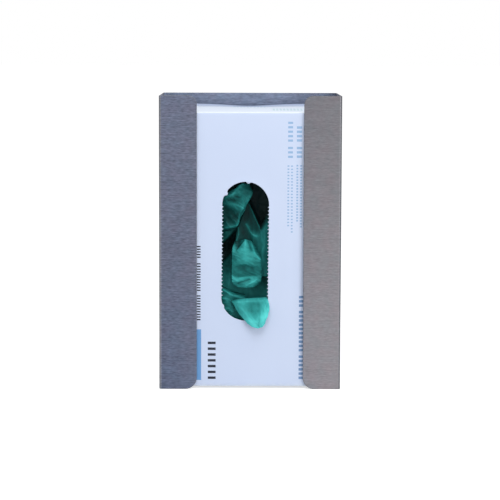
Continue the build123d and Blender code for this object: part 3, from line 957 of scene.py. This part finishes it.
# Folded double: a bright belly, a dark hollow, then the fold itself as a bright roll
CENTRE_FOLDS = (
    ((-8.8, 8.5, 15, 0.2), (-5.6, 9, 15, 0.05), (0.2, 10, 9.5, 0.58),
     (5, 8.6, 13.5, 0.3), (9.5, 5, 16, 0.28)),
    ((-9.4, 5, 11, 0.5), (-6, 4.6, 12, 0.12), (0.2, 8, 7.5, 0.75), (4.4, 4.8, 10, 0.47), (11, 0.5, 14, 0.4)),
    ((-10.4, 1.5, 8.5, 0.62), (-6.8, 0.4, 8, 0.56), (-0.5, 1.5, 5.5, 0.78),
     (6.4, -0.5, 7.5, 0.54), (12.6, -3.4, 11, 0.42)),
    ((-10.7, -5, 7, 0.38), (-6.3, -5.2, 5, 0.56), (0.5, -5, 4.2, 0.65),
     (7.6, -4.6, 4.6, 0.58), (13.9, -7, 7, 0.45)),
    ((-10.7, -12, 6.5, 0.42), (-6, -11.5, 4.8, 0.54), (0.5, -11, 4.5, 0.6),
     (7.2, -11.8, 4.8, 0.58), (14, -13, 7, 0.48)),
    ((-10.7, -15.6, 7, 0.42), (-6, -13.8, 6.8, 0.4), (0.5, -13, 7, 0.36),
     (7.2, -14.2, 7, 0.4), (14, -17, 7.4, 0.45)),
    ((-10.7, -21.2, 7, 0.45), (-6, -22.2, 8, 0.42), (0.5, -21.6, 8.4, 0.4),
     (7, -21, 8, 0.42), (13.6, -21, 7.5, 0.45)),
    ((-10.8, -22.6, 6, 0.66), (-6, -23.6, 5.2, 0.7), (0.5, -22.4, 5.4, 0.66),
     (7, -22.2, 5.2, 0.66), (13.6, -22.8, 6.8, 0.55)),
    ((-10.7, -26.6, 5.2, 0.66), (-6, -28, 3.8, 0.52), (0.5, -28.8, 3.6, 0.56),
     (7.4, -27.8, 4, 0.62), (13.2, -26.4, 6, 0.52)),
    ((-10, -28.6, 7, 0.6), (-6.2, -30.9, 6.2, 0.66), (0.5, -31.7, 5.8, 0.7),
     (7.4, -31, 6.4, 0.62), (11.8, -28.8, 8, 0.5)),
)
CENTRE_CREASES = (
    (((0, 9.2), (-6.6, 1)), 0.5, 0.5, 0.25),
    (((-1.2, 9), (-7.6, 0.8)), 0.45, -0.9, -0.3),
    (((2.6, 8), (5.4, 1.2)), 0.8, -0.6, -0.2),
    (((5.4, 8), (8.6, -2), (12.8, -7)), 1.1, 0.7, 0.34),
    (((-5.6, -27.8), (3.6, -24.6)), 0.9, -0.9, -0.3),
    (((0.8, -30.2), (4.5, -28), (10, -25)), 0.7, 0.6, 0.25),
    (((-10.2, -23.2), (-6.5, -26)), 1.2, 0.4, 0.12),
    (((-10.8, 0), (-11, -22)), 0.6, 0.2, 0.12),
)
CENTRE_WRINKLES = ((7, 0.6, 0.08, 1.6, -20), (2.4, 0.3, 0.07, 3.5, -25), (1.3, 0.1, 0.03, 4, 20))

# Folded across the slot's lower left, with one pale crease and soft folds below it
LOWER_FOLDS = (
    ((-38, -30, 17, 0.1), (-27, -30.5, 16, 0.1), (-18.5, -31.5, 15, 0.2),
     (-12, -35.4, 15, 0.35), (0, -38.2, 16, 0.45)),
    ((-38, -36, 14.5, 0.2), (-27, -34, 13, 0.3), (-18.3, -34, 11.5, 0.6),
     (-11.5, -38.2, 12, 0.6), (0, -41, 13, 0.6)),
    ((-38, -43, 15.5, 0.2), (-27, -42, 14, 0.2), (-18, -39.5, 13, 0.56),
     (-11.5, -43, 13.5, 0.5), (-4.2, -46, 14, 0.4)),
    ((-38, -49, 14.5, 0.2), (-27, -48, 13, 0.2), (-17.5, -46, 12, 0.6),
     (-11, -49, 12.5, 0.7), (-4, -51, 14, 0.7)),
    ((-37, -56, 15.5, 0.1), (-27, -56, 14, 0.2), (-17, -54, 12.5, 0.46),
     (-10.5, -55.5, 11.5, 0.92), (-2, -57, 13, 0.98)),
    ((-35, -61, 17, 0.1), (-27, -61, 16, 0.1), (-17, -61.5, 15, 0.35),
     (-10, -62.5, 13, 0.95), (0, -62.5, 15, 1)),
)
LOWER_CREASES = (
    (((-19, -33.6), (-14, -37.2), (-10, -39.6), (0, -41.6)), 1.7, 0.7, 0.17),
    (((-19, -42), (-13, -41.5), (-8, -44.5)), 0.9, 0.5, 0.1),
    (((-18, -52), (-12.5, -49.5), (-9, -52)), 0.9, 0.5, 0.1),
)
LOWER_WRINKLES = ((7, 0.8, 0.08, 2, -28), (2.6, 0.4, 0.08, 3, -25), (1.3, 0.1, 0.03, 4, 60))

# The tongue: its root lies in the slot, and it hangs over the slot's foot to a blunt tip
FRONT_FOLDS = (
    ((-12, -43.5, 19, 0.1), (-5, -42, 19, 0.1), (4, -41, 19, 0.1), (12, -41, 19, 0.1), (17, -41, 19, 0.1)),
    ((-11.8, -43, 10, 0.2), (-5, -41.3, 9, 0.25), (4, -40.6, 8, 0.25),
     (12, -40.2, 8, 0.25), (18, -39.8, 9, 0.25)),
    ((-11.6, -43, 3.5, 0.5), (-5, -41.6, 1, 0.58), (4, -40.9, 0, 0.6),
     (12, -40.5, 0, 0.62), (18.6, -39.9, 1.5, 0.6)),
    ((-11.2, -44, 1, 0.56), (-5, -43.4, -1.4, 0.68), (4, -43, -2.2, 0.68),
     (12, -42.8, -2.6, 0.66), (19.7, -42, -0.8, 0.75)),
    ((-9.4, -47, 0.2, 0.54), (-3.5, -47.3, -2.6, 0.7), (4.5, -47, -2.6, 0.53),
     (12.5, -46.4, -2.8, 0.5), (20.6, -46.6, -2.2, 0.85)),
    ((-6.9, -51.2, -1.4, 0.56), (-1.5, -51.8, -4.4, 0.7), (6, -52.2, -4.2, 0.48),
     (12.6, -51.8, -4.8, 0.56), (20.6, -51.2, -4.2, 1)),
    ((-3.9, -55.6, -2.8, 0.64), (1.2, -56.4, -5.8, 0.8), (7.5, -57, -6, 0.72),
     (13.2, -57.2, -7.2, 0.9), (19.5, -56.4, -5.6, 1)),
    ((-0.8, -59.4, -3.8, 0.76), (3.8, -60.8, -6.4, 0.98), (9, -61.6, -7, 1),
     (13.4, -61.8, -7.8, 0.95), (17.7, -60.4, -6.4, 1)),
    ((2.3, -62.8, -4.4, 0.8), (5.8, -65.5, -5.6, 0.96), (10.6, -66.7, -6.4, 0.96),
     (15, -65.6, -6.4, 0.97), (17.5, -62.6, -5.6, 0.95)),
)
FRONT_CREASES = (
    (((13, -54.5), (12, -60), (11.4, -65.5)), 0.6, -0.6, -0.1),
    (((15.5, -46), (14, -52.5), (13.2, -58)), 0.8, 0.5, 0.1),
    (((-8.5, -45.5), (0, -54), (6, -60.5)), 1.2, 0.4, 0.05),
    (((-7, -44.5), (4, -44.2), (15, -43.4)), 0.9, 0.5, 0.08),
    (((19.4, -43), (16.8, -50), (17.6, -58)), 0.7, 0.6, 0.1),
)
FRONT_WRINKLES = ((8, 0.7, 0.05, 2, -55), (2.6, 0.28, 0.05, 3.5, -60), (1.3, 0.08, 0.03, 4, 80))


GLOVES = (
    # node, folds, creases, wrinkles, their seed, rows and columns, how eased, back, edge radius
    ("glove_right", RIGHT_FOLDS, RIGHT_CREASES, RIGHT_WRINKLES, 11.4, (100, 84), 2, GLOVE_DEEP, FILM / 2),
    ("glove_upper", UPPER_FOLDS, UPPER_CREASES, UPPER_WRINKLES, 3.1, (110, 84), 3, GLOVE_BACK, FILM / 2),
    ("glove_lower", LOWER_FOLDS, LOWER_CREASES, LOWER_WRINKLES, 31.2, (90, 80), 3, GLOVE_BACK, FILM / 2),
    ("glove_centre", CENTRE_FOLDS, CENTRE_CREASES, CENTRE_WRINKLES, 21.7, (130, 76), 3, GLOVE_DEEP, 0.9),
    ("glove_front", FRONT_FOLDS, FRONT_CREASES, FRONT_WRINKLES, 41.9, (130, 80), 4, None, 0.45),
)


def make_glove(material, node, folds, creases, wrinkles, seed, grid_size, ease, back, radius):
    """One glove's film in place of its CAD node."""
    grid = fold_grid(folds, *grid_size, ease)
    add_creases(grid, creases)
    add_wrinkles(grid, wrinkles, seed)
    place_glove(closed_film(node + "_film", grid, material, back, radius), node)


# The dark gaps between the gloves, sunk in and given painted shade: how soft the edge is, then the outline
# seen from the front
GAPS = (
    (3.5, [(4.5, 66), (1.5, 44), (13.4, 16), (18.5, 25), (31, 38), (27, 68)]),
    (7.0, [(-8.5, 20), (-5, 19), (-8.0, 4), (-9.0, -1), (-21, -13), (-23, -13), (-23, 6)]),
)
GAP_DEPTH = 10.0
GAP_PAINTED_SHADE = 0.55
STACK_TONE = 0.3
# Patches of painted light and shade on the stack's front
STACK_PAINTED_LIGHT_AND_SHADE = (
    # middle x, z, reach x, z, tone
    (-15, 13, 9, 8, 0.38),
    (-14, -24, 9, 9, 0.6),
    (3, -37, 26, 9, 0.74),
    (4, 24, 9, 12, 0.0),
)
# The stack's sides: how many gloves show, the rings of each, how deep the grooves between them and
# their shoulders lie, how far each slides sideways, and their tones, with painted shade in the grooves
STACK_LAYERS = 24
LAYER_RINGS = 4
LAYER_GROOVE = 1.4
LAYER_SHOULDER = 0.3
LAYER_SLIDE = 1.1
LAYER_TONE = 0.25
GROOVE_PAINTED_SHADE = -0.2
STACK_BACK_GAP = 0.2


def stack_front(x, z):
    """Depth and tone of the stack's front, the tone with painted highlight on fold crests and painted shade
    in the gaps.
    """
    fold = crumple(x, z, size=14.0, seed=51.3, stretch=1.8)
    fine = crumple(x, z, size=4.0, seed=57.9, stretch=1.4)
    depth = STACK_DEPTH + 0.4 + 1.6 * (1 - fold) + 0.5 * (1 - fine)
    tone = STACK_TONE + 0.1 * (fold - 0.5) + 0.06 * (fine - 0.5)
    for middle_x, middle_z, reach_x, reach_z, level in STACK_PAINTED_LIGHT_AND_SHADE:
        near = np.exp(-(((x - middle_x) / reach_x) ** 2) - ((z - middle_z) / reach_z) ** 2)
        tone += (level - STACK_TONE) * near
    for softness, outline in GAPS:
        edge = distance_to_line(x, z, [*outline, outline[0]])
        deep = np.where(inside(x, z, outline), smoothstep(0.0, softness, edge), 0.0)
        depth += GAP_DEPTH * deep
        tone -= GAP_PAINTED_SHADE * np.minimum(1, deep * 2.5)
    return depth, tone


def spaced(start, fine_start, fine_end, end, count):
    """Numbers from start to end, with a count of them close together between the middle two."""
    before, after = np.linspace(start, fine_start, 12), np.linspace(fine_end, end, 12)
    return np.concatenate([before[:-1], np.linspace(fine_start, fine_end, count), after[1:]])


def pile_rings(edge, middle, rear):
    """Rings from the front's rim back to the rear, one glove's rounded edge after another, with painted
    shade in the grooves.
    """
    rings, tones = [], []
    for i in range(STACK_LAYERS * LAYER_RINGS + 1):
        layer, part = divmod(i, LAYER_RINGS)
        share = i / (STACK_LAYERS * LAYER_RINGS)
        ring = edge.copy()
        ring[:, 1] += (rear - edge[:, 1]) * share
        toward = unit((middle - ring) * LEVEL)
        inset = LAYER_GROOVE * (part == 0) + LAYER_SHOULDER * (part in (1, 3))
        swell = 0.8 + 0.8 * np.sin(0.11 * (edge[:, 0] + edge[:, 2]) + 1.9 * layer)
        ring += toward * (inset + swell)[:, None]
        ring[:, 0] += LAYER_SLIDE * math.sin(2.4 * layer) * share * (1 - share) * 2
        rings.append(ring)
        tones.append(LAYER_TONE + GROOVE_PAINTED_SHADE * (part == 0))
    rings[0] = edge
    return rings, tones


def make_stack(material):
    """The gloves behind, flat one on the next: layered sides round a crumpled front."""
    low, high = node_box("glove_stack")
    beyond = SLOT_RADIUS + 3
    columns = spaced(low[0] - SLOT_X, -beyond, beyond, high[0] - SLOT_X, 52)
    rows = spaced(high[2] - SLOT_Z, 66, -68, low[2] - SLOT_Z, 148)
    x, z = np.meshgrid(columns, rows)
    depth, tone = stack_front(x, z + SIGHT_SLOPE * STACK_DEPTH)
    front = np.stack([x + SLOT_X, depth + CARTON_FRONT, z + SLOT_Z], -1)
    rim = border(*x.shape)
    back = front.copy()
    back[..., 1] = high[1] - STACK_BACK_GAP
    rings, ring_tones = pile_rings(front[rim], (low + high) / 2, high[1] - STACK_BACK_GAP)
    back[rim] = rings[-1]
    pile = Patchwork()
    pile.add_grid(front, tone=tone)
    pile.add_grid(rings, closed=True, tone=ring_tones)
    pile.add_grid(back, tone=LAYER_TONE)
    place_glove(pile.build("glove_stack_film", material), "glove_stack")


def make_gloves(material):
    """The gloves from the back to the front."""
    make_stack(material)
    for glove in GLOVES:
        make_glove(material, *glove)


# ---- stage ----


FLOOR_COLOUR = (0.8, 0.8, 0.8, 1.0)
FLOOR_GLOW = 0.62
FLOOR_REACH = 20000
AMBIENT = 0.55


def make_floor():
    """A pale floor that glows just enough to reach white, and still takes shadow."""
    s = Shader("floor_pale")
    diffuse = s.fill(s.add("ShaderNodeBsdfDiffuse"), Color=FLOOR_COLOUR)
    glow = s.fill(s.add("ShaderNodeEmission"), Strength=s.product(s.sees_background(), FLOOR_GLOW))
    both = s.add("ShaderNodeAddShader")
    s.link(diffuse.outputs[0], both.inputs[0])
    s.link(glow.outputs[0], both.inputs[1])
    s.link(both.outputs[0], s.output.inputs["Surface"])
    corners = [(x * FLOOR_REACH, y * FLOOR_REACH, 0) for x, y in ((-1, -1), (1, -1), (1, 1), (-1, 1))]
    make_object("floor", corners, [(0, 1, 2, 3)], s.material)


def light_world():
    """Even white light from all round, on a background that is white where it is seen."""
    world = bpy.data.worlds.new("studio")
    bpy.context.scene.world = world
    world.use_nodes = True
    s = Nodes(world.node_tree)
    level = s.remap(s.sees_background(), 0.0, 1.0, AMBIENT, 1.0)
    s.fill(s.tree.nodes["Background"], Color=(1, 1, 1, 1), Strength=level)


def add_lamp(name, place, target, width, height, power, colour=(1, 1, 1)):
    """A soft rectangular lamp, in metres, aimed at a point."""
    data = bpy.data.lights.new(name, "AREA")
    data.shape = "RECTANGLE"
    data.size = width
    data.size_y = height
    data.energy = power
    data.color = colour
    lamp = put(name, data)
    lamp.location = place
    lamp.rotation_euler = (Vector(target) - Vector(place)).to_track_quat("-Z", "Y").to_euler()


def add_lamps():
    """One lamp above and before the object, and a warmer, weaker one at its right."""
    middle = (0, -0.04, 0.12)
    add_lamp("lamp_above", (0.1, -0.8, 1.5), middle, 1.2, 0.9, 16)
    add_lamp("lamp_right", (1.2, -1.3, 0.25), middle, 0.7, 0.9, 7, (1.0, 0.96, 0.92))


# The camera, solved from the holder's eight corners in the photograph's frame
CAMERA_PLACE = (-0.0081, -1.7052, 0.3023)
CAMERA_PAN = math.radians(-0.277)
CAMERA_TILT = math.radians(6.223)
CAMERA_ROLL = math.radians(0.18)
CAMERA_LENS = 139.4
CAMERA_SENSOR = 36


def add_camera():
    """Level and facing +Y, then panned to the left, tilted down and rolled."""
    data = bpy.data.cameras.new("camera")
    data.lens = CAMERA_LENS
    data.sensor_width = CAMERA_SENSOR
    data.clip_end = 100
    camera = put("camera", data)
    pan, roll = Matrix.Rotation(CAMERA_PAN, 4, "Z"), Matrix.Rotation(CAMERA_ROLL, 4, "Z")
    tilt = Matrix.Rotation(math.pi / 2 - CAMERA_TILT, 4, "X")
    camera.matrix_world = Matrix.Translation(CAMERA_PLACE) @ pan @ tilt @ roll
    bpy.context.scene.camera = camera


# ---- the scene ----


def dress(node, material):
    """Gives a CAD node a better material."""
    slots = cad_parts[node].data.materials
    slots.clear()
    slots.append(material)


add_camera()
make_floor()
light_world()
add_lamps()
bpy.context.scene.view_settings.view_transform = "Standard"

dress("holder", brushed_steel())
make_carton(carton_board())
make_gloves(glove_film())
